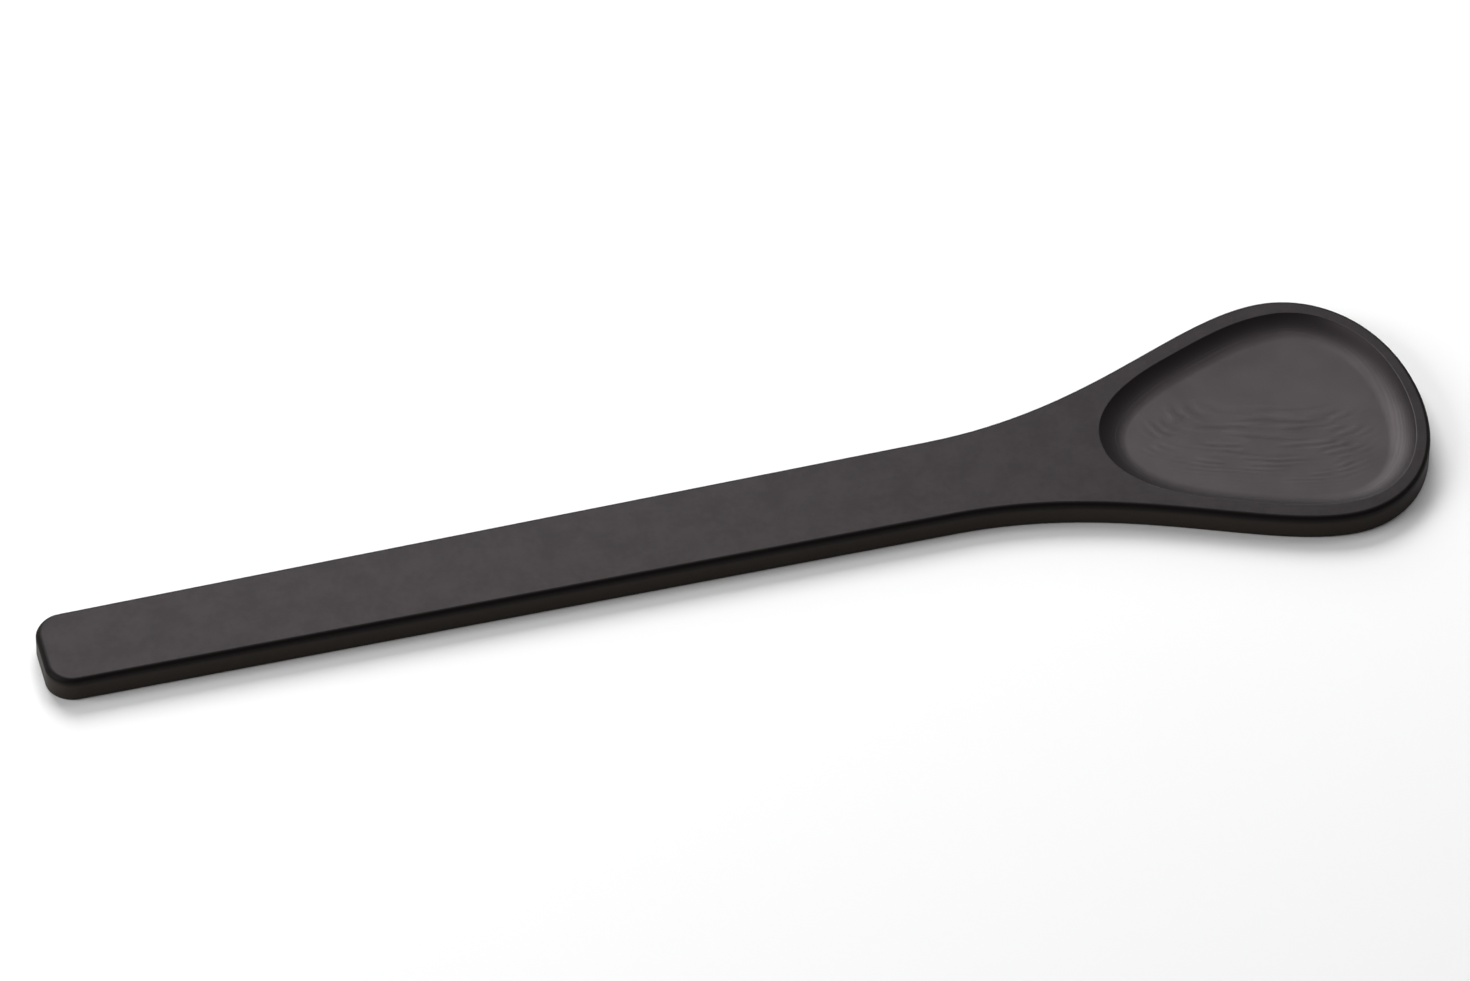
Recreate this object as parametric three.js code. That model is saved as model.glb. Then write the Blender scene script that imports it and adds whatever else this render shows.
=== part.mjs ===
// Flat cooking spoon, milled from a board of laminated sheets.
//
// The board is a stack of thin fibre sheets bonded face to face with resin. Milling rounds the
// board's outer edges and cuts a shallow bowl into its top, so each sheet keeps its own cross-section
// of the spoon: the upper sheets are open where the bowl passes through them, one sheet holds the
// bottom of the bowl, and the lower sheets run through underneath it.
//
// Millimetres, +Z up. The spoon lies on its back along X, from the handle's end to the bowl's tip,
// and the origin is the middle of its underside.

import * as THREE from 'three';

// Board
const SHEET_THICKNESS = 0.3175;
const SHEET_COUNT = 20;

// Handle: a slow straight taper with two rounded corners at its end
const HANDLE_END_WIDTH = 22.5;
const HANDLE_CORNER_RADIUS = 6.6;
const HANDLE_LENGTH = 213.5;
const NECK_WIDTH = 25.8;

// Bowl outline: a flare from the neck to the widest point, then the broad tip.
// A reach is how far a curve keeps the direction it has at one of its ends.
const FLARE_LENGTH = 89;
const FLARE_NECK_REACH = 40.8;
const FLARE_BOWL_REACH = 21.6;
const BOWL_WIDTH = 74.7;
const TIP_LENGTH = 27.5;
const TIP_SIDE_REACH = 14.9;
const TIP_END_REACH = 23.3;

// Milling: the rounded edges, and the bowl, whose wall has the round of a ball-nosed cutter and whose
// floor is slightly dished
const EDGE_RADIUS = 1;
const END_EDGE_RADIUS = 1.7;
const UNDERSIDE_EDGE_RADIUS = 0.5;
const RIM_WIDTH = 4.5;
const TIP_RIM_WIDTH = 3.2;
const BOWL_LENGTH = 74.3;
const BOWL_NECK_LENGTH = 21.75;
const CUTTER_RADIUS = 9;
const DISH_DEPTH = 0.3;
const FLOOR_THICKNESS = 3.05;

// The level middle of the bowl, as a share of its floor's own outline
const LEVEL_SHARE = 0.3;

// Straight steps along each curve
const CORNER_STEPS = 6;
const FLARE_STEPS = 18;
const TIP_STEPS = 12;
const BOWL_NECK_STEPS = 8;
const BOWL_FLANK_STEPS = 10;

// Rounds of halving that find a place on a curve
const HALVINGS = 40;

const faceMaterial = new THREE.MeshStandardMaterial({ color: 0x4b4748, roughness: 0.72, metalness: 0 });
const coreMaterial = new THREE.MeshStandardMaterial({ color: 0x3f3b3b, roughness: 0.8, metalness: 0 });

// Heights through the board
const boardThickness = SHEET_COUNT * SHEET_THICKNESS;
const edgeRadius = Math.min(EDGE_RADIUS, boardThickness / 2);
const endEdgeRadius = Math.min(END_EDGE_RADIUS, boardThickness / 2);
const undersideEdgeRadius = Math.min(UNDERSIDE_EDGE_RADIUS, boardThickness / 2);
const wallFootZ = FLOOR_THICKNESS + DISH_DEPTH;
const wallRun = cutterReach(boardThickness - wallFootZ);

// Points on the upper half of the outline, where y is positive
const overallLength = HANDLE_LENGTH + FLARE_LENGTH + TIP_LENGTH;
const handleEndX = -overallLength / 2;
const cornerCentre = new THREE.Vector2(
  handleEndX + HANDLE_CORNER_RADIUS,
  HANDLE_END_WIDTH / 2 - HANDLE_CORNER_RADIUS,
);
const sideStart = new THREE.Vector2(cornerCentre.x, HANDLE_END_WIDTH / 2);
const neck = new THREE.Vector2(handleEndX + HANDLE_LENGTH, NECK_WIDTH / 2);
const widest = new THREE.Vector2(neck.x + FLARE_LENGTH, BOWL_WIDTH / 2);
const tip = new THREE.Vector2(widest.x + TIP_LENGTH, 0);
const bowlTip = new THREE.Vector2(tip.x - TIP_RIM_WIDTH, 0);
const bowlNeck = new THREE.Vector2(bowlTip.x - BOWL_LENGTH, 0);
const bowlMiddle = new THREE.Vector2((bowlNeck.x + bowlTip.x) / 2, 0);

// The handle's side runs straight into the flare
const sideDirection = neck.clone().sub(sideStart).normalize();
const flareCurve = new THREE.CubicBezierCurve(
  neck,
  neck.clone().addScaledVector(sideDirection, FLARE_NECK_REACH),
  new THREE.Vector2(widest.x - FLARE_BOWL_REACH, widest.y),
  widest,
);
const tipCurve = new THREE.CubicBezierCurve(
  widest,
  new THREE.Vector2(widest.x + TIP_SIDE_REACH, widest.y),
  new THREE.Vector2(tip.x, TIP_END_REACH),
  tip,
);

// How far the cutter's round reaches sideways at a height above its lowest point
function cutterReach(height) {
  const rise = Math.min(height, CUTTER_RADIUS);
  return Math.sqrt(rise * (2 * CUTTER_RADIUS - rise));
}

// The spoon is symmetrical: an upper half, from the handle towards the tip, and its mirror image make
// one loop, counter-clockwise seen from above. A point on the axis is kept once.
function mirroredLoop(upperHalf) {
  const offAxis = upperHalf.filter((point) => point.y > 0);
  const lowerHalf = offAxis.map((point) => new THREE.Vector2(point.x, -point.y));
  return [...lowerHalf, ...upperHalf.toReversed()];
}

// Every edge of a loop moves inward by the same distance
function insetLoop(loop, distance) {
  return loop.map((point, i) => {
    const edgeBefore = point.clone().sub(loop.at(i - 1)).normalize();
    const edgeAfter = loop[(i + 1) % loop.length].clone().sub(point).normalize();
    const normalBefore = new THREE.Vector2(-edgeBefore.y, edgeBefore.x);
    const normalAfter = new THREE.Vector2(-edgeAfter.y, edgeAfter.x);
    const mitre = normalBefore.clone().add(normalAfter).normalize();
    return point.clone().addScaledVector(mitre, distance / mitre.dot(normalBefore));
  });
}

function outlineLoop() {
  const corner = Array.from({ length: CORNER_STEPS + 1 }, (_, i) => {
    const angle = Math.PI - (i / CORNER_STEPS) * (Math.PI / 2);
    const spoke = new THREE.Vector2(Math.cos(angle), Math.sin(angle));
    return cornerCentre.clone().addScaledVector(spoke, HANDLE_CORNER_RADIUS);
  });
  const flare = flareCurve.getPoints(FLARE_STEPS);
  const round = tipCurve.getPoints(TIP_STEPS).slice(1);
  return mirroredLoop([...corner, ...flare, ...round]);
}

// The bowl's edge keeps the rim's width to the outline along its flanks
function rimPoint(curve, t) {
  const along = curve.getTangent(t);
  const inward = new THREE.Vector2(along.y, -along.x);
  return curve.getPoint(t).addScaledVector(inward, RIM_WIDTH);
}

// Where along the flare the rim reaches a given x, found by halving
function flareParameterOfRim(x) {
  let low = 0;
  let high = 1;
  for (let i = 0; i < HALVINGS; i += 1) {
    const middle = (low + high) / 2;
    if (rimPoint(flareCurve, middle).x < x) {
      low = middle;
    } else {
      high = middle;
    }
  }
  return low;
}

// At the neck, a round end square to the axis turns into the two flanks. The tip's part lies further
// forward, because the rim is narrower there.
function bowlEdgeLoop() {
  const start = flareParameterOfRim(bowlNeck.x + BOWL_NECK_LENGTH);
  const flank = Array.from({ length: BOWL_FLANK_STEPS + 1 }, (_, i) => {
    return rimPoint(flareCurve, start + (1 - start) * (i / BOWL_FLANK_STEPS));
  });
  const round = Array.from({ length: TIP_STEPS - 1 }, (_, i) => rimPoint(tipCurve, (i + 1) / TIP_STEPS));
  round.forEach((point) => point.setX(point.x + RIM_WIDTH - TIP_RIM_WIDTH));
  const along = flank[1].clone().sub(flank[0]);
  const turnY = flank[0].y - (BOWL_NECK_LENGTH * along.y) / along.x;
  const turn = new THREE.Vector2(bowlNeck.x, turnY);
  const neckEnd = new THREE.QuadraticBezierCurve(bowlNeck, turn, flank[0]).getPoints(BOWL_NECK_STEPS);
  return mirroredLoop([...neckEnd, ...flank.slice(1), ...round, bowlTip]);
}

const outline = outlineLoop();
const bowlEdge = bowlEdgeLoop();
const wallFoot = insetLoop(bowlEdge, wallRun);

// How far a rounded edge lies back from the upright side, at a distance from the face it runs into
function setBack(fromFace, radius) {
  const intoRound = Math.max(radius - fromFace, 0);
  return radius - Math.sqrt(radius ** 2 - intoRound ** 2);
}

// The spoon's outer edge at a height: upright, with a round at the top and a smaller one underneath. At
// the handle's end the upper round is larger, and it grows to that size round the two corners.
function outerLoop(z) {
  const fromTop = boardThickness - z;
  const upper = setBack(fromTop, edgeRadius);
  const endExtra = setBack(fromTop, endEdgeRadius) - upper;
  const loop = insetLoop(outline, upper + setBack(z, undersideEdgeRadius));
  loop.forEach((point) => {
    const cornerShare = Math.max(cornerCentre.x - point.x, 0) / HANDLE_CORNER_RADIUS;
    point.setX(point.x + endExtra * cornerShare);
  });
  return loop;
}

// The bowl at a height: the wall has the cutter's round, and the floor is a shallow dish
function bowlLoop(z) {
  if (z >= wallFootZ) {
    return insetLoop(bowlEdge, wallRun - cutterReach(z - wallFootZ));
  }
  const heightShare = (z - FLOOR_THICKNESS) / DISH_DEPTH;
  const reach = LEVEL_SHARE + (1 - LEVEL_SHARE) * Math.sqrt(heightShare);
  return wallFoot.map((point) => bowlMiddle.clone().lerp(point, reach));
}

// A closed surface made of rings, the bands between them and flat faces
class Shell {
  positions = [];
  triangles = [];

  ring(loop, z) {
    const first = this.positions.length / 3;
    loop.forEach((point) => this.positions.push(point.x, point.y, z));
    return { loop, corners: loop.map((_, i) => first + i) };
  }

  // Faces outwards when the first ring is the lower one, and inwards when it is the upper one
  band(from, to) {
    from.corners.forEach((a, i) => {
      const next = (i + 1) % from.corners.length;
      const b = from.corners[next];
      const c = to.corners[next];
      const d = to.corners[i];
      this.triangles.push(a, b, c, a, c, d);
    });
  }

  face(outer, hole, facesUp) {
    const holes = hole ? [hole] : [];
    const corners = [outer, ...holes].flatMap((ring) => ring.corners);
    const cuts = THREE.ShapeUtils.triangulateShape(outer.loop, holes.map((ring) => ring.loop));
    cuts.forEach(([a, b, c]) => {
      const triangle = [corners[a], corners[b], corners[c]];
      this.triangles.push(...(facesUp ? triangle : triangle.toReversed()));
    });
  }

  geometry() {
    const geometry = new THREE.BufferGeometry();
    geometry.setAttribute('position', new THREE.Float32BufferAttribute(this.positions, 3));
    geometry.setIndex(this.triangles);
    geometry.computeVertexNormals();
    return geometry;
  }
}

// One sheet, standing on its own underside, cut by the bowl where it reaches that deep
function sheetGeometry(bottomZ, topZ) {
  const shell = new Shell();
  const bottom = shell.ring(outerLoop(bottomZ), 0);
  const top = shell.ring(outerLoop(topZ), SHEET_THICKNESS);
  shell.band(bottom, top);

  if (topZ <= FLOOR_THICKNESS) {
    shell.face(bottom, null, false);
    shell.face(top, null, true);
    return shell.geometry();
  }

  const cutEndZ = Math.max(bottomZ, FLOOR_THICKNESS);
  const cutTop = shell.ring(bowlLoop(topZ), SHEET_THICKNESS);
  const cutEnd = shell.ring(bowlLoop(cutEndZ), cutEndZ - bottomZ);
  shell.band(cutTop, cutEnd);
  shell.face(top, cutTop, true);
  if (cutEndZ > bottomZ) {
    shell.face(cutEnd, null, true);
    shell.face(bottom, null, false);
  } else {
    shell.face(bottom, cutEnd, false);
  }
  return shell.geometry();
}

// Sheets are numbered from the underside
function sheetName(number) {
  if (number === 1) return 'bottom_face_sheet';
  if (number === SHEET_COUNT) return 'top_face_sheet';
  return `core_sheet_${String(number).padStart(2, '0')}`;
}

const spoon = new THREE.Group();
for (let number = 1; number <= SHEET_COUNT; number += 1) {
  const bottomZ = (number - 1) * SHEET_THICKNESS;
  const topZ = number * SHEET_THICKNESS;
  const isFace = number === 1 || number === SHEET_COUNT;
  const sheet = new THREE.Mesh(sheetGeometry(bottomZ, topZ), isFace ? faceMaterial : coreMaterial);
  sheet.name = sheetName(number);
  sheet.position.z = bottomZ;
  spoon.add(sheet);
}

export default spoon;
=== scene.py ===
# %% [markdown]
# # A cooking spoon cut from laminated board
# The spoon is one flat board. Thin sheets of fibre were soaked in resin, stacked and pressed hard, and a
# router then cut the outline, rounded the edges and milled a shallow bowl into the top.
# We work in the maker's order: draw the outline, raise the board, round its edges, mill the bowl, and
# last of all part the board into its sheets along the glue lines.

# %% Load the frame
import math

import bmesh
import bpy
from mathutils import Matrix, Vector


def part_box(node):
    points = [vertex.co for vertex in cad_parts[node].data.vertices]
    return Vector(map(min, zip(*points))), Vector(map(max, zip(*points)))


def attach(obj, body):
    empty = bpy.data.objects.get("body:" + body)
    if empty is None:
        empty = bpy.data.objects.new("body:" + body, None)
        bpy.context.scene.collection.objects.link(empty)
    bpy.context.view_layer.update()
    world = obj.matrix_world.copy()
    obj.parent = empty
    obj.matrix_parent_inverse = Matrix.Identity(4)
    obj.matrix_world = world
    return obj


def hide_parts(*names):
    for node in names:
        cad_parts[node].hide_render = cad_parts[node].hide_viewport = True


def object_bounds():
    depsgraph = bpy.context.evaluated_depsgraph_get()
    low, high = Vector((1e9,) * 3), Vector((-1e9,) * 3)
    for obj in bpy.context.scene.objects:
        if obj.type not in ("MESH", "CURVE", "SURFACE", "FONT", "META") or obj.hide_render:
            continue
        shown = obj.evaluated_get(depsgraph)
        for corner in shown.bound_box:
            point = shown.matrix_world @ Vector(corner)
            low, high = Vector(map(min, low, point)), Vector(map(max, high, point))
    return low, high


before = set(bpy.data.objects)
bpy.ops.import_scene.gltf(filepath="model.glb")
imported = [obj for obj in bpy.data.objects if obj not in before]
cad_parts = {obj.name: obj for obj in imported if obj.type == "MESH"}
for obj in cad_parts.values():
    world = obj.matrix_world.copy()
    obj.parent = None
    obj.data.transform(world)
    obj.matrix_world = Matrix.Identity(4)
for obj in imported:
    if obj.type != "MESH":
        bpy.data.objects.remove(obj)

MM = 0.001

cad_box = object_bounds()
low, high = cad_box
sheet_nodes = sorted(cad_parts, key=lambda node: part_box(node)[0].z)
glue_heights = [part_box(node)[0].z for node in sheet_nodes[1:]]
board_top = high.z
board_levels = [low.z, *glue_heights, board_top]
sheet_thickness = (board_top - low.z) / len(sheet_nodes)
print(f"{len(sheet_nodes)} sheets of {sheet_thickness / MM:.4f} mm make the board")

# %% [markdown]
# ## Tools for the bench
# An operator works on whatever is selected, so most mistakes in a script are mistakes of selection. Two
# helpers keep that safe. One makes a single object the only selected and active one. The other picks
# faces in edit mode by a test on the face, such as where it lies or which way it points.


# %% Helpers that select
def take(piece):
    """Makes one object the only selected one, and the active one."""
    bpy.ops.object.select_all(action="DESELECT")
    piece.select_set(True)
    bpy.context.view_layer.objects.active = piece


def select_faces(test):
    """Selects the faces of the mesh in edit mode that pass the test, and says how many they are."""
    bpy.ops.mesh.select_mode(type="FACE")
    bpy.ops.mesh.select_all(action="DESELECT")
    mesh = bpy.context.edit_object.data
    cage = bmesh.from_edit_mesh(mesh)
    chosen = [face for face in cage.faces if test(face)]
    for face in chosen:
        face.select_set(True)
    bmesh.update_edit_mesh(mesh)
    return len(chosen)


bpy.ops.object.select_all(action="DESELECT")

# %% [markdown]
# ## The outline
# Seen from above, the spoon is the same on both sides of its axis, so half an outline is enough. It
# could be a polygon of many points, but a Bezier curve needs only five: the two ends of the handle's
# rounded corner, the neck, the widest place of the bowl and the tip. Its handles say how far the curve
# keeps its direction at each point, as a bent batten does between two nails.

# %% The points of half the outline
HANDLE_END_WIDTH = 22.5 * MM
HANDLE_CORNER_RADIUS = 6.6 * MM
HANDLE_LENGTH = 213.5 * MM
NECK_WIDTH = 25.8 * MM
FLARE_LENGTH = 89 * MM
FLARE_NECK_REACH = 40.8 * MM
FLARE_BOWL_REACH = 21.6 * MM
TIP_SIDE_REACH = 14.9 * MM
TIP_END_REACH = 23.3 * MM

# A curve's handles this share of a radius long make a quarter of a circle
QUARTER_CIRCLE_REACH = 0.5523

corner_reach = QUARTER_CIRCLE_REACH * HANDLE_CORNER_RADIUS
corner_start = Vector((low.x, HANDLE_END_WIDTH / 2 - HANDLE_CORNER_RADIUS, 0))
side_start = Vector((low.x + HANDLE_CORNER_RADIUS, HANDLE_END_WIDTH / 2, 0))
neck = Vector((low.x + HANDLE_LENGTH, NECK_WIDTH / 2, 0))
widest = Vector((neck.x + FLARE_LENGTH, high.y, 0))
tip = Vector((high.x, 0, 0))
side = (neck - side_start).normalized()
third_of_side = (neck - side_start).length / 3

# Each point with the offsets of the two handles that shape the curve before and after it
outline_points = [
    (corner_start, Vector((0, -corner_reach, 0)), Vector((0, corner_reach, 0))),
    (side_start, Vector((-corner_reach, 0, 0)), side * third_of_side),
    (neck, -side * third_of_side, side * FLARE_NECK_REACH),
    (widest, Vector((-FLARE_BOWL_REACH, 0, 0)), Vector((TIP_SIDE_REACH, 0, 0))),
    (tip, Vector((0, TIP_END_REACH, 0)), Vector((0, -TIP_END_REACH, 0))),
]
print(f"{len(outline_points)} points guide half of the outline")

# %% [markdown]
# A new Bezier curve has two points. We subdivide it until it has as many as we need, free the handles of
# each point and put point and handles in their places. Converted to a mesh, the curve turns into a chain
# of short edges.

# %% Draw half of the outline
STEPS_PER_CURVE = 32

bpy.ops.curve.primitive_bezier_curve_add()
board = bpy.context.object
board.name = "board"
bpy.ops.object.mode_set(mode="EDIT")
bpy.ops.curve.select_all(action="SELECT")
bpy.ops.curve.subdivide(number_cuts=len(outline_points) - 2)
bpy.ops.object.mode_set(mode="OBJECT")
half_outline = board.data.splines[0]
for knot, (place, before, after) in zip(half_outline.bezier_points, outline_points):
    knot.handle_left_type = "FREE"
    knot.handle_right_type = "FREE"
    knot.co = place
    knot.handle_left = place + before
    knot.handle_right = place + after
half_outline.resolution_u = STEPS_PER_CURVE
bpy.ops.object.convert(target="MESH")
print(f"half of the outline has {len(board.data.vertices)} points")

# %% [markdown]
# ## The board
# A mirror modifier gives the other half. The two halves meet at the tip, and one edge closes the end of
# the handle. The closed outline then becomes a face, and the face is extruded to the board's thickness.

# %% Raise the board
MERGE_DISTANCE = 1e-6

mirror = board.modifiers.new("other_half", "MIRROR")
mirror.use_axis = (False, True, False)
mirror.use_mirror_merge = True
mirror.merge_threshold = MERGE_DISTANCE
take(board)
bpy.ops.object.modifier_apply(modifier=mirror.name)

bpy.ops.object.mode_set(mode="EDIT")
bpy.ops.mesh.select_mode(type="VERT")
bpy.ops.mesh.select_all(action="DESELECT")
cage = bmesh.from_edit_mesh(board.data)
for vertex in cage.verts:
    vertex.select_set(vertex.co.x < low.x + MERGE_DISTANCE)
bmesh.update_edit_mesh(board.data)
bpy.ops.mesh.edge_face_add()
bpy.ops.mesh.select_all(action="SELECT")
bpy.ops.mesh.edge_face_add()
bpy.ops.mesh.extrude_region_move(TRANSFORM_OT_translate={"value": (0, 0, board_top - low.z)})
bpy.ops.mesh.select_all(action="SELECT")
bpy.ops.mesh.normals_make_consistent(inside=False)
bpy.ops.object.mode_set(mode="OBJECT")
print(f"the raw board has {len(board.data.polygons)} faces")

# %% [markdown]
# ## The rounded edges
# A router bit with a small radius ran round the top, and the edge of the underside was only eased with
# sandpaper. The bevel operator does the same: we select a face, ask for the edges round it, and bevel
# only those.

# %% Round the edges
EDGE_RADIUS = 1 * MM
UNDERSIDE_EDGE_RADIUS = 0.5 * MM
EDGE_STEPS = 24

# The bevel's profile that is part of a circle
CIRCLE_PROFILE = 0.5

# A face counts as level if the upright part of its unit normal is larger than this
FLAT = 0.999

bpy.ops.object.mode_set(mode="EDIT")
for facing, radius in ((1, EDGE_RADIUS), (-1, UNDERSIDE_EDGE_RADIUS)):
    select_faces(lambda face: face.normal.z * facing > FLAT)
    bpy.ops.mesh.region_to_loop()
    bpy.ops.mesh.bevel(offset=radius, segments=EDGE_STEPS, profile=CIRCLE_PROFILE, affect="EDGES")
bpy.ops.object.mode_set(mode="OBJECT")
print(f"with rounded edges the board has {len(board.data.polygons)} faces")

# %% [markdown]
# The end of the handle was eased more than the sides. A second bevel would not fade out round the
# corners, so we move the points of the round back instead, by the difference between the two radii at
# each point's height. A thin ring is then inset along the border of the top and the underside. It holds
# the shading flat right up to the round.

# %% Ease the end of the handle
END_EDGE_RADIUS = 1.7 * MM
HOLDING_RING = 0.25 * MM

# The strips of a round have four corners each, and the top and the underside have many
STRIP_CORNERS = 4


def set_back(from_top, radius):
    """How far a rounded edge lies back from the upright side, at a depth below the top."""
    into_round = max(radius - from_top, 0)
    return radius - math.sqrt(radius**2 - into_round**2)


for vertex in board.data.vertices:
    from_top = board_top - vertex.co.z
    corner_share = max(side_start.x - vertex.co.x, 0) / HANDLE_CORNER_RADIUS
    end_extra = set_back(from_top, END_EDGE_RADIUS) - set_back(from_top, EDGE_RADIUS)
    vertex.co.x += end_extra * corner_share

bpy.ops.object.mode_set(mode="EDIT")
flat_count = select_faces(lambda face: abs(face.normal.z) > FLAT and len(face.verts) > STRIP_CORNERS)
bpy.ops.mesh.inset(thickness=HOLDING_RING)
bpy.ops.object.mode_set(mode="OBJECT")
print(f"{flat_count} flat faces lie inside the rounded edges")

# %% [markdown]
# ## The section of the bowl
# A ball-nosed cutter milled the bowl, so in section its wall is part of the cutter's circle: it meets
# the top at a slant and eases out level at its foot. The sharp edge at the top was then rubbed round.
# That small round touches the top and the wall's circle from inside the board, which gives its centre by
# Pythagoras. The section is a list of runs and depths from the bowl's edge, and starts outside that
# edge, where the round begins.

# %% The section of the bowl's wall
CUTTER_RADIUS = 9 * MM
DISH_DEPTH = 0.3 * MM
FLOOR_THICKNESS = 3.05 * MM
RIM_ROUND = 0.25 * MM
RIM_ROUND_STEPS = 6
WALL_STEPS = 30

wall_depth = board_top - FLOOR_THICKNESS - DISH_DEPTH
wall_run = math.sqrt(wall_depth * (2 * CUTTER_RADIUS - wall_depth))
round_centre = wall_run - math.sqrt(wall_depth * (2 * CUTTER_RADIUS + 2 * RIM_ROUND - wall_depth))
slant = math.acos(1 - wall_depth / (CUTTER_RADIUS + RIM_ROUND))

section = []
for step in range(RIM_ROUND_STEPS):
    angle = slant * step / RIM_ROUND_STEPS
    section.append((round_centre + RIM_ROUND * math.sin(angle), RIM_ROUND * (1 - math.cos(angle))))
for step in range(WALL_STEPS + 1):
    angle = slant * (1 - step / WALL_STEPS)
    run = wall_run - CUTTER_RADIUS * math.sin(angle)
    section.append((run, wall_depth - CUTTER_RADIUS * (1 - math.cos(angle))))
print(f"the wall is {wall_run / MM:.2f} mm wide, {wall_depth / MM:.2f} mm deep")
print(f"its slant below the rim is {math.degrees(slant):.0f} degrees")

# %% [markdown]
# ## The edge of the bowl
# Along its flanks, the bowl keeps the same distance from the outline. So we inset the top face by that
# distance and cut the new face across with bisect where the flanks begin. The cut will be bent into the
# bowl's round end, so it is subdivided to give it points to bend.

# %% Mark out the bowl
RIM_WIDTH = 4.5 * MM
TIP_RIM_WIDTH = 3.2 * MM
BOWL_LENGTH = 74.3 * MM
BOWL_NECK_LENGTH = 21.75 * MM
NECK_END_STEPS = 32

bowl_tip_x = high.x - TIP_RIM_WIDTH
bowl_neck_x = bowl_tip_x - BOWL_LENGTH
flank_start_x = bowl_neck_x + BOWL_NECK_LENGTH
bowl_middle = Vector(((bowl_neck_x + bowl_tip_x) / 2, 0, 0))
mark_offset = section[0][0] - HOLDING_RING


def is_top_face(face):
    """The one large face of the board's top, or after the cut the two."""
    return face.normal.z > FLAT and len(face.verts) > STRIP_CORNERS


bpy.ops.object.mode_set(mode="EDIT")
select_faces(is_top_face)
bpy.ops.mesh.inset(thickness=RIM_WIDTH + mark_offset - EDGE_RADIUS - HOLDING_RING)
bpy.ops.mesh.bisect(plane_co=(flank_start_x, 0, 0), plane_no=(1, 0, 0), threshold=MERGE_DISTANCE)
bpy.ops.mesh.subdivide(number_cuts=NECK_END_STEPS - 1)
bpy.ops.object.mode_set(mode="OBJECT")
print(f"the bowl runs from {bowl_neck_x / MM:.1f} to {bowl_tip_x / MM:.1f} mm along the spoon")

# %% [markdown]
# The round end is a curve with three guiding points. It starts square to the axis, and its turning
# point lies on the line of the flank, so it runs into the flank without a corner. At the tip the rim is
# narrower, so the part of the bowl's edge beyond the widest place moves forward by the difference.


# %% Bend the cut into the bowl's round end
def on_cut(vertex):
    """True for the points of the straight cut across the top face."""
    in_line = abs(vertex.co.x - flank_start_x) < MERGE_DISTANCE
    return in_line and abs(vertex.co.z - board_top) < MERGE_DISTANCE


def is_top_polygon(polygon):
    """The same test as for a face in edit mode, for a face of the finished mesh."""
    return polygon.normal.z > FLAT and len(polygon.vertices) > STRIP_CORNERS


cut = [vertex for vertex in board.data.vertices if on_cut(vertex)]
flank = max(cut, key=lambda vertex: vertex.co.y)
flank_edges = [edge for edge in board.data.edges if flank.index in edge.vertices]
flank_neighbours = [board.data.vertices[i].co for edge in flank_edges for i in edge.vertices]
beyond = max(flank_neighbours, key=lambda place: place.x)
flank_slope = (beyond.y - flank.co.y) / (beyond.x - flank.co.x)
round_end_x = bowl_neck_x + mark_offset
turn_y = flank.co.y - (flank_start_x - round_end_x) * flank_slope
flank_y = flank.co.y

for vertex in cut:
    share = abs(vertex.co.y) / flank_y
    vertex.co.x = round_end_x + (flank_start_x - round_end_x) * share**2
    vertex.co.y = math.copysign(2 * share * (1 - share) * turn_y + share**2 * flank_y, vertex.co.y)

top_polygons = [polygon for polygon in board.data.polygons if is_top_polygon(polygon)]
bowl_polygon = max(top_polygons, key=lambda polygon: polygon.center.x)
for index in bowl_polygon.vertices:
    vertex = board.data.vertices[index]
    if vertex.co.x > widest.x:
        vertex.co.x += RIM_WIDTH - TIP_RIM_WIDTH
print(f"the round end has {len(cut)} points and is {2 * flank_y / MM:.1f} mm wide at the flanks")

# %% [markdown]
# ## The milled bowl
# We could sculpt the bowl, or sweep its section round, but an inset with a depth is the closest to
# milling: each one steps inward by a little and down by a little, so the list of points along the
# section becomes a list of cutter passes.

# %% Mill the wall
bpy.ops.object.mode_set(mode="EDIT")
select_faces(lambda face: is_top_face(face) and face.calc_center_median().x > flank_start_x)
bpy.ops.mesh.inset(thickness=HOLDING_RING)
for (run, depth), (next_run, next_depth) in zip(section, section[1:]):
    bpy.ops.mesh.inset(thickness=next_run - run, depth=depth - next_depth)
print(f"the wall took {len(section) - 1} passes")

# %% [markdown]
# The floor is a dish whose rings all have the shape of the wall's foot, only smaller. Insets would lose
# that shape as they shrink, so here each ring is extruded in place, scaled towards the bowl's middle and
# lowered. A flat patch is left at the middle.

# %% Dish the floor
DISH_STEPS = 10

# The size of the flat patch, as a share of the wall's foot
LEVEL_SHARE = 0.3

dish_rings = []
for step in range(DISH_STEPS + 1):
    outward = 1 - step / DISH_STEPS
    dish_rings.append((LEVEL_SHARE + (1 - LEVEL_SHARE) * outward, DISH_DEPTH * outward**2))
for (reach, rise), (next_reach, next_rise) in zip(dish_rings, dish_rings[1:]):
    shrink = next_reach / reach
    bpy.ops.mesh.extrude_region_move(TRANSFORM_OT_translate={"value": (0, 0, next_rise - rise)})
    bpy.ops.transform.resize(value=(shrink, shrink, 1), center_override=bowl_middle)
bpy.ops.object.mode_set(mode="OBJECT")
lowest_cut = min(face.center.z for face in board.data.polygons if face.normal.z > FLAT)
print(f"{lowest_cut / MM:.2f} mm of board is left under the middle of the bowl")

# %% [markdown]
# ## How the finishes are written
# A material is a graph of nodes. Drawn by hand, such a graph is easy to follow, but in a script it turns
# into pages of links. So a small class wraps a socket and lets us write arithmetic: `height / step`
# adds a Math node and gives back its output.


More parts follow.
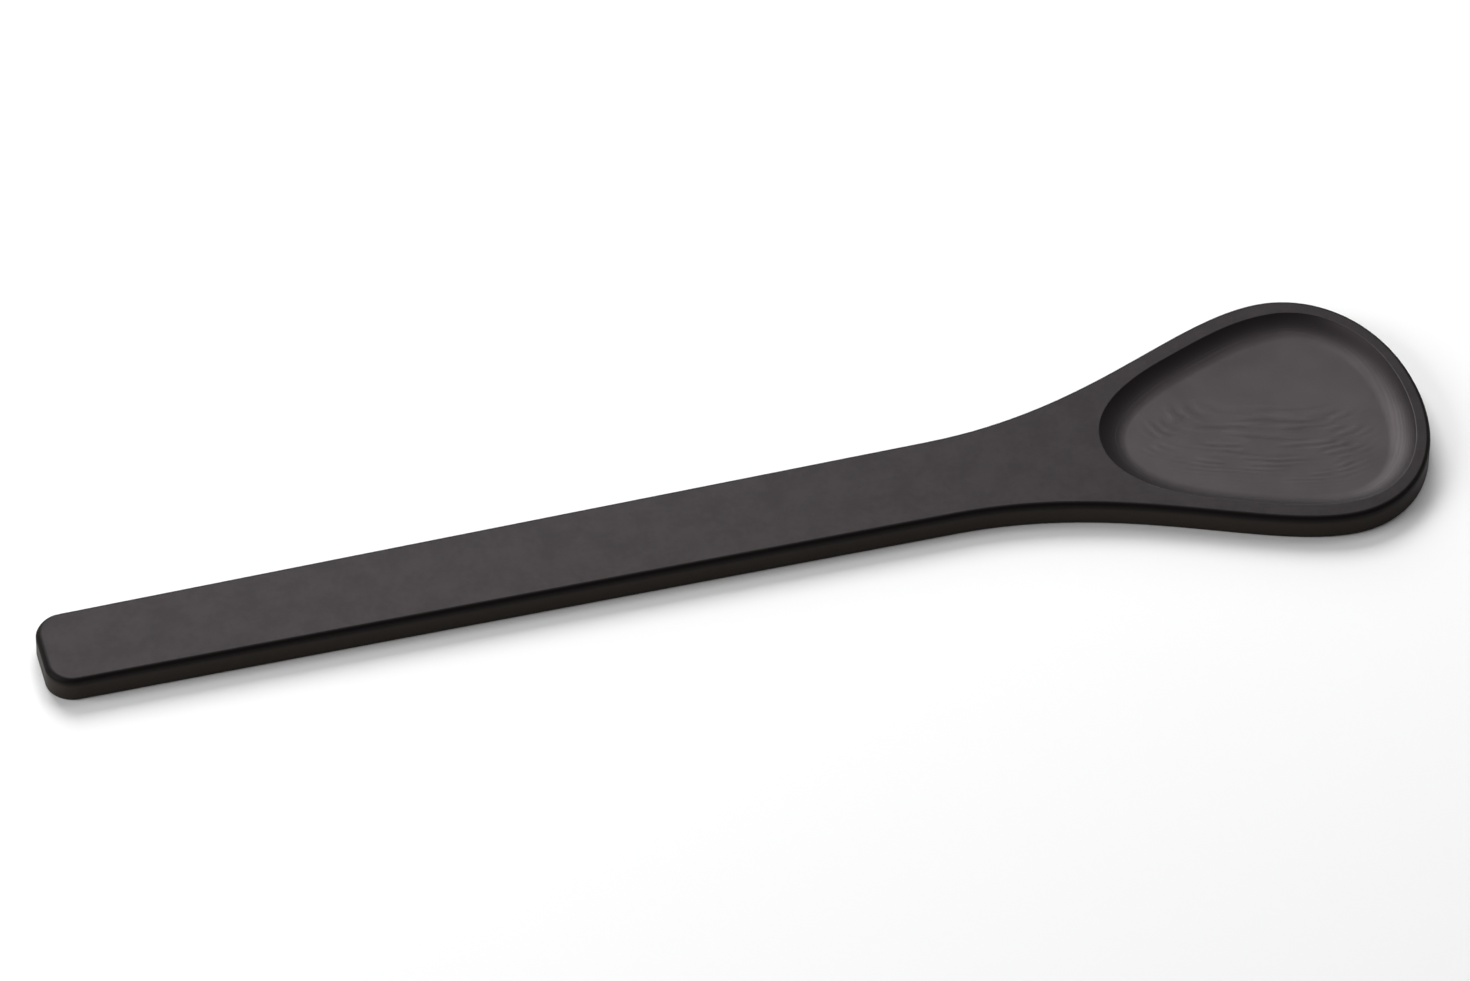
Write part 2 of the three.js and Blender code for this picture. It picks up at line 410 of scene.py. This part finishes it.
# %% Sockets that can be calculated with
class Wire:
    """An output socket in a finish. Arithmetic on it adds Math nodes."""

    def __init__(self, finish, socket):
        self.finish = finish
        self.socket = socket

    def __add__(self, other):
        return self.finish.math("ADD", self, other)

    def __sub__(self, other):
        return self.finish.math("SUBTRACT", self, other)

    def __rsub__(self, other):
        return self.finish.math("SUBTRACT", other, self)

    def __mul__(self, other):
        return self.finish.math("MULTIPLY", self, other)

    def __truediv__(self, other):
        return self.finish.math("DIVIDE", self, other)

    __radd__ = __add__
    __rmul__ = __mul__


# %% [markdown]
# A second class holds one material. All its nodes come from one method, `node`, and the methods after it
# are the few things that our finishes are made of: a place, noise, a smooth step, a zigzag, a blend of two
# colours and a relief. Every pattern starts from the place on the object, so nothing slides with the
# camera.


# %% A finish and its patterns
class Finish:
    """A material whose nodes are all made by one method."""

    def __init__(self, name):
        self.material = bpy.data.materials.new(name)
        self.material.use_nodes = True
        self.tree = self.material.node_tree
        self.shader = self.tree.nodes["Principled BSDF"]
        self.place = self.node("ShaderNodeTexCoord", output="Object")

    def fill(self, socket, value):
        """Links a wire to a socket, or sets a plain value on it."""
        if isinstance(value, Wire):
            self.tree.links.new(value.socket, socket)
        else:
            socket.default_value = value

    def node(self, kind, settings=None, sockets=None, output=0):
        """Adds a node, applies its settings first and then fills its sockets."""
        added = self.tree.nodes.new(kind)
        for name, value in (settings or {}).items():
            setattr(added, name, value)
        for name, value in (sockets or {}).items():
            self.fill(added.inputs[name], value)
        return Wire(self, added.outputs[output])

    def math(self, operation, *values):
        """A Math node for one operation."""
        return self.node("ShaderNodeMath", {"operation": operation}, dict(enumerate(values)))

    def along(self, axis):
        """The place along X, Y or Z, in metres. Along Z it is the height above the table."""
        return self.node("ShaderNodeSeparateXYZ", sockets={"Vector": self.place}, output=axis)

    def noise(self, size, detail=2, stretch=(1, 1, 1), turn=0):
        """Noise between 0 and 1, with clouds of about the given size, stretched along turned axes."""
        frame_of_clouds = {
            "Vector": self.place,
            "Rotation": (0, 0, turn),
            "Scale": tuple(size * share for share in stretch),
        }
        place = self.node("ShaderNodeMapping", {"vector_type": "TEXTURE"}, frame_of_clouds)
        return self.node("ShaderNodeTexNoise", sockets={"Vector": place, "Scale": 1, "Detail": detail})

    def ramp(self, value, start, end):
        """0 below start, 1 above end and a smooth step between them."""
        steps = {"Value": value, "From Min": start, "From Max": end}
        return self.node("ShaderNodeMapRange", {"interpolation_type": "SMOOTHSTEP"}, steps)

    def zigzag(self, value):
        """Rises from 0 to 1 and falls back to 0 over each whole step of a value."""
        return self.math("PINGPONG", value, 0.5) * 2

    def mix(self, share, first, second):
        """Blends two colours, which a Mix node has at inputs 6 and 7 and gives at output 2."""
        sockets = {0: share, 6: first, 7: second}
        return self.node("ShaderNodeMix", {"data_type": "RGBA"}, sockets, output=2)

    def bump(self, height):
        """A normal that follows a height given in metres."""
        return self.node("ShaderNodeBump", sockets={"Height": height, "Distance": 1})

    def show(self, **sockets):
        """Fills the shader's sockets, named in lower case with underscores."""
        for socket in self.shader.inputs:
            key = socket.name.lower().replace(" ", "_")
            if key in sockets:
                self.fill(socket, sockets[key])


# %% [markdown]
# ## The pressed face
# The top and the underside are the outer skin of the board, as it came out of the press: charcoal, matt
# and even, with soft clouds a few millimetres wide, where the resin took up more or less pigment, and a
# faint tooth from the release paper. Two sizes of noise make the clouds. Light clouds are a little
# glossier than dark ones.

# %% Pressed face
FACE_DARK = (0.0084, 0.0073, 0.0076, 1)
FACE_LIGHT = (0.0124, 0.0108, 0.0112, 1)
FACE_ROUGHNESS = 0.53
FACE_SHEEN = 0.119
SHEEN_TINT = (1.0, 0.85, 0.90, 1)
WIDE_CLOUD = 7 * MM
WIDE_CLOUD_SHARE = 0.6
SMALL_CLOUD = 1.6 * MM
CLOUD_RANGE = (0.35, 0.65)
CLOUD_GLOSS = 0.10
TOOTH_SIZE = 0.35 * MM
TOOTH_HEIGHT = 0.004 * MM

face_finish = Finish("pressed_face")
wide_clouds = face_finish.noise(WIDE_CLOUD)
small_clouds = face_finish.noise(SMALL_CLOUD)
clouds = WIDE_CLOUD_SHARE * wide_clouds + (1 - WIDE_CLOUD_SHARE) * small_clouds
tooth = face_finish.noise(TOOTH_SIZE, detail=3)
face_finish.show(
    base_color=face_finish.mix(face_finish.ramp(clouds, *CLOUD_RANGE), FACE_DARK, FACE_LIGHT),
    roughness=FACE_ROUGHNESS - CLOUD_GLOSS * clouds,
    normal=face_finish.bump(tooth * TOOTH_HEIGHT),
    specular_ior_level=FACE_SHEEN,
    specular_tint=SHEEN_TINT,
)
print("pressed face:", len(face_finish.tree.nodes), "nodes")

# %% [markdown]
# ## The cut surface of the bowl
# The cutter runs at a slant through the sheets and leaves their edges as contour lines, like the lines
# on a map. Sheets are wavy, so the lines wander, and the board lay a little tilted under the cutter, so
# the lines are drawn out to one side. The pattern is therefore a function of height: the height, tilted
# and pushed up and down by noise, is cut into equal steps. On the wall one step is one sheet. The floor
# is nearly level, and there the layers of fibre inside a sheet show as finer steps.

# %% Lines in the bowl
FIBRE_LAYER = 0.07 * MM
BOARD_TILT = 0.024
FIBRE_TURN = math.radians(-17)
WAVE_SIZE = 4 * MM
WAVE_STRETCH = (3, 1, 1)
WAVE_HEIGHT = 0.10 * MM

bowl_finish = Finish("milled_bowl")
height = bowl_finish.along("Z")
across = bowl_finish.along("Y") * math.cos(FIBRE_TURN) - bowl_finish.along("X") * math.sin(FIBRE_TURN)
waves = bowl_finish.noise(WAVE_SIZE, detail=3, stretch=WAVE_STRETCH, turn=FIBRE_TURN) * WAVE_HEIGHT
level = height - across * BOARD_TILT + waves
fibre_line = bowl_finish.zigzag(level / FIBRE_LAYER)
sheet_line = bowl_finish.zigzag(level / sheet_thickness)
print(f"on a level floor, a layer of fibre is {FIBRE_LAYER / BOARD_TILT / MM:.1f} mm wide")

# %% [markdown]
# The lines are not equally clear everywhere. They are clearest in the deepest part of the floor, where
# polishing reaches least, fade towards the far side and are broken up by worn places. On the wall they
# are faint. One product of masks says how clear the lines of the floor are.

# %% Where the lines are clear
# Two distances from the origin, across the lines. The bowl's middle lies just before the first.
FADE_START = 38 * MM
FADE_END = 48 * MM

# From the bottom up, lines keep their full strength over this share of the dish's depth
DEEP_SHARE = 0.2
WORN_SIZE = 4 * MM
WORN_STRETCH = (2.5, 1, 1)
WORN_RANGE = (0.38, 0.6)

wall_foot = FLOOR_THICKNESS + DISH_DEPTH
on_wall = bowl_finish.ramp(height, wall_foot, wall_foot + sheet_thickness)
deep = 1 - bowl_finish.ramp(height, FLOOR_THICKNESS + DEEP_SHARE * DISH_DEPTH, wall_foot)
near = 1 - bowl_finish.ramp(across, FADE_START, FADE_END)
wear = bowl_finish.noise(WORN_SIZE, stretch=WORN_STRETCH, turn=FIBRE_TURN)
unworn = bowl_finish.ramp(wear, *WORN_RANGE)
clear = deep * near * unworn
print(f"the wall's foot is {wall_foot / MM:.2f} mm above the table")

# %% [markdown]
# The lines show in three ways at once, as on the real cut: in the tone, because layers take up pigment
# differently, in the gloss, because the lighter ones polish better, and as a fine relief.

# %% Cut surface of the bowl
BOWL_DARK = (0.0080, 0.0069, 0.0074, 1)
BOWL_LIGHT = (0.0134, 0.0118, 0.0124, 1)
BOWL_ROUGHNESS = 0.55
BOWL_SHEEN = 0.274
MOTTLE_SIZE = 8 * MM
TONE_GLOSS = 0.13
WALL_CONTRAST = 0.35
FLOOR_RELIEF = 0.05 * MM
WALL_RELIEF = 0.006 * MM

# With a zigzag's mean taken off, the lines leave the mean tone as it is
ZIGZAG_MEAN = 0.5

floor_tone = (fibre_line - ZIGZAG_MEAN) * clear
wall_tone = (sheet_line - ZIGZAG_MEAN) * on_wall * WALL_CONTRAST
tone = floor_tone + wall_tone + bowl_finish.noise(MOTTLE_SIZE, detail=4)
relief = fibre_line * clear * FLOOR_RELIEF + sheet_line * on_wall * WALL_RELIEF
bowl_finish.show(
    base_color=bowl_finish.mix(tone, BOWL_DARK, BOWL_LIGHT),
    roughness=BOWL_ROUGHNESS - TONE_GLOSS * tone,
    normal=bowl_finish.bump(relief),
    specular_ior_level=BOWL_SHEEN,
    specular_tint=SHEEN_TINT,
)
print("cut surface of the bowl:", len(bowl_finish.tree.nodes), "nodes")

# %% [markdown]
# ## The milled edge
# Round the outside, the router cut square across the sheets, and each sheet shows as a faint stripe on
# that brownish cut. The rounded edge above it turns from the lamps, and its shade is painted nearly black
# and fades out a little way down the side. Fine ripples along the side are left from the cutter.

# %% Milled edge
# Painted shade: the colour of the round, nearly black where it turns away from the lamps
ROUND_PAINTED_SHADE = (0.0035, 0.0029, 0.0026, 1)
SIDE_DARK = (0.0200, 0.0167, 0.0134, 1)
SIDE_LIGHT = (0.0276, 0.0230, 0.0184, 1)
EDGE_ROUGHNESS = 0.50
EDGE_SHEEN = 0.1
STRIPE_ROUGHNESS = 0.04
RIPPLE_SIZE = 0.3 * MM
RIPPLE_STRETCH = (4, 4, 1)
RIPPLE_HEIGHT = 0.003 * MM

# The painted shade of the round fades out between these depths below the top
DARK_END = 0.8 * EDGE_RADIUS
SIDE_START = 2.4 * EDGE_RADIUS

edge_finish = Finish("milled_edge")
edge_height = edge_finish.along("Z")
stripe = edge_finish.zigzag(edge_height / sheet_thickness)
side_colour = edge_finish.mix(stripe, SIDE_DARK, SIDE_LIGHT)
# Below the round, the painted shade gives way to the side's own colour
below_painted_shade = edge_finish.ramp(board_top - edge_height, DARK_END, SIDE_START)
ripple = edge_finish.noise(RIPPLE_SIZE, stretch=RIPPLE_STRETCH)
edge_finish.show(
    base_color=edge_finish.mix(below_painted_shade, ROUND_PAINTED_SHADE, side_colour),
    roughness=EDGE_ROUGHNESS + STRIPE_ROUGHNESS * stripe,
    normal=edge_finish.bump(ripple * RIPPLE_HEIGHT),
    specular_ior_level=EDGE_SHEEN,
    specular_tint=SHEEN_TINT,
)
print("milled edge:", len(edge_finish.tree.nodes), "nodes")

# %% [markdown]
# ## Which face gets which finish
# Every face of the board can tell by its place and normal what made it. Level faces at the very top and
# bottom came from the press. A face below the top that leans towards the middle of the bowl was milled
# there, and everything else belongs to the outer edge.


# %% Give each face its finish
def is_level_at(face, heights, tolerance):
    """Level, and at one of the heights."""
    place = face.calc_center_median().z
    nearest = min(abs(place - height) for height in heights)
    return nearest < tolerance and abs(face.normal.z) > FLAT


def is_pressed(face):
    """Level, and at the top or bottom of the board."""
    return is_level_at(face, (low.z, board_top), MERGE_DISTANCE)


def is_bowl(face):
    """Faces up, below the top, and leans towards the bowl's middle if it leans at all."""
    centre = face.calc_center_median()
    below_top = centre.z < board_top - MERGE_DISTANCE
    towards_middle = (bowl_middle - centre).to_2d().dot(face.normal.to_2d())
    return below_top and face.normal.z > 0 and towards_middle > -MERGE_DISTANCE


# Places in the board's list of finishes. A face that no test picks keeps the first, the milled edge.
PRESSED_SLOT = 1
BOWL_SLOT = 2

take(board)
for finish in (edge_finish, face_finish, bowl_finish):
    board.data.materials.append(finish.material)
bpy.ops.object.mode_set(mode="EDIT")
for slot, test in ((PRESSED_SLOT, is_pressed), (BOWL_SLOT, is_bowl)):
    count = select_faces(test)
    board.active_material_index = slot
    bpy.ops.object.material_slot_assign()
    print(board.data.materials[slot].name, "covers", count, "faces")
bpy.ops.object.mode_set(mode="OBJECT")

# %% [markdown]
# ## The sheets
# The finished board is now parted along its glue lines. Bisect cuts at one height, throws away what lies
# on one side and fills the cut, so two of them leave a single sheet. Each sheet is a copy of the whole
# board cut to its own two heights, so neighbours meet exactly. New cut faces are glue faces: they lie
# against the next sheet, and get the pressed finish.

# %% Part the board into sheets
CUT_TOLERANCE = 1e-7
SMOOTH_ANGLE = math.radians(30)


def keep_between(bottom, top):
    """Cuts the mesh in edit mode down to the part between two heights, and closes the cuts."""
    for height, above, below in ((bottom, False, True), (top, True, False)):
        if height not in glue_heights:
            continue
        bpy.ops.mesh.select_all(action="SELECT")
        bpy.ops.mesh.bisect(
            plane_co=(0, 0, height),
            plane_no=(0, 0, 1),
            use_fill=True,
            clear_inner=below,
            clear_outer=above,
            threshold=CUT_TOLERANCE,
        )


def make_sheet(node):
    """One sheet of the board, in the place of its CAD node."""
    number = sheet_nodes.index(node)
    bottom, top = board_levels[number : number + 2]
    take(board)
    bpy.ops.object.duplicate()
    sheet = bpy.context.object
    sheet.name = f"pressed_{node}"
    sheet.data.name = sheet.name
    bpy.ops.object.mode_set(mode="EDIT")
    keep_between(bottom, top)
    bpy.ops.mesh.select_all(action="SELECT")
    bpy.ops.mesh.dissolve_degenerate(threshold=CUT_TOLERANCE)
    select_faces(lambda face: is_level_at(face, (bottom, top), CUT_TOLERANCE))
    sheet.active_material_index = PRESSED_SLOT
    bpy.ops.object.material_slot_assign()
    bpy.ops.object.mode_set(mode="OBJECT")
    bpy.ops.object.shade_smooth_by_angle(angle=SMOOTH_ANGLE)
    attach(sheet, "root")
    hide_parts(node)
    return sheet


for node in sheet_nodes:
    sheet = make_sheet(node)
    print(sheet.name, len(sheet.data.polygons), "faces")
bpy.data.objects.remove(board)

# %% [markdown]
# ## The camera
# The photograph was taken from well above the table and from far away with a long lens, turned a little
# towards the handle's end. A wide lens from nearer would show the handle's end too large. The values
# came from fitting the spoon's outline. Lens and sensor are in millimetres, as Blender asks for them.

# %% Camera
VIEW_AZIMUTH = math.radians(-15.445)
VIEW_ELEVATION = math.radians(44.131)
VIEW_DISTANCE = 1764 * MM
VIEW_TARGET = Vector((2.7 * MM, 14.9 * MM, 0))
VIEW_LENS = 185.5
VIEW_SENSOR = 36


def direction(azimuth, elevation):
    """A unit vector from the spoon: azimuth 0 is towards -Y and turns towards +X."""
    reach = math.cos(elevation)
    return Vector((math.sin(azimuth) * reach, -math.cos(azimuth) * reach, math.sin(elevation)))


towards_camera = direction(VIEW_AZIMUTH, VIEW_ELEVATION)
bpy.ops.object.camera_add(location=VIEW_TARGET + towards_camera * VIEW_DISTANCE)
camera = bpy.context.object
camera.rotation_euler = towards_camera.to_track_quat("Z", "Y").to_euler()
camera.data.lens = VIEW_LENS
camera.data.sensor_width = VIEW_SENSOR
bpy.context.scene.camera = camera
print("camera at", [round(value, 3) for value in camera.location])

# %% [markdown]
# ## The floor
# The floor is plain and white, and large enough to fill the picture. It lies a hair below the underside,
# so the two faces never fight for the same place, and it has no shine, so it mirrors no lamp. Its size is
# in metres.

# %% Floor
FLOOR_SIZE = 8
FLOOR_GAP = 0.05 * MM
FLOOR_COLOUR = (0.85, 0.85, 0.85, 1)

bpy.ops.object.select_all(action="DESELECT")
bpy.ops.mesh.primitive_plane_add(size=FLOOR_SIZE, location=(0, 0, low.z - FLOOR_GAP))
floor = bpy.context.object
floor.name = "floor"
floor_finish = Finish("white_floor")
floor_finish.show(base_color=FLOOR_COLOUR, roughness=1, specular_ior_level=0)
floor.data.materials.append(floor_finish.material)
print(f"the floor is {FLOOR_SIZE} m wide")

# %% [markdown]
# ## The light
# Dark board shows little colour of its own: most of what we see is the soft shine of lamps on it. A
# large soft light stands behind the spoon, where the level top mirrors it to the camera and turns grey,
# while the near edge stays in shadow. A low strip under it shines along the floor of the bowl. A reflector
# on the left lights the wall at the tip, and a weak light high on the right clears the shadow beside the
# bowl. Distances and sizes are in metres.

# %% Lights
LIGHT_DISTANCE = 1.55


def add_softbox(name, azimuth, elevation, size, power):
    """A soft light that faces the spoon. The angles are in degrees, and the size is width and height."""
    towards_light = direction(math.radians(azimuth), math.radians(elevation))
    bpy.ops.object.light_add(type="AREA", location=towards_light * LIGHT_DISTANCE)
    softbox = bpy.context.object
    softbox.name = name
    softbox.rotation_euler = towards_light.to_track_quat("Z", "Y").to_euler()
    softbox.data.shape = "RECTANGLE"
    softbox.data.size, softbox.data.size_y = size
    softbox.data.energy = power
    print(f"{name} shines with {power} W from {elevation} degrees above the table")


add_softbox("back_softbox", azimuth=182, elevation=42, size=(1.1, 0.7), power=23)
add_softbox("low_strip", azimuth=180, elevation=20, size=(1.1, 0.4), power=5)
add_softbox("high_softbox", azimuth=130, elevation=66, size=(0.8, 0.6), power=5)
add_softbox("left_reflector", azimuth=272, elevation=30, size=(1.0, 0.8), power=13)

# %% [markdown]
# Light also comes back from the white walls of a studio. We could build walls, but the world's background
# does the same as a faint, even glow. The view transform Standard shows colours as they were worked out,
# without the look of film.

# %% Room
ROOM_GLOW = 0.17
ROOM_COLOUR = (1, 1, 1, 1)

world = bpy.data.worlds.new("studio")
world.use_nodes = True
background = world.node_tree.nodes["Background"]
background.inputs["Strength"].default_value = ROOM_GLOW
background.inputs["Color"].default_value = ROOM_COLOUR
bpy.context.scene.world = world
bpy.context.scene.view_settings.view_transform = "Standard"
print(f"the room glows with a strength of {ROOM_GLOW}")
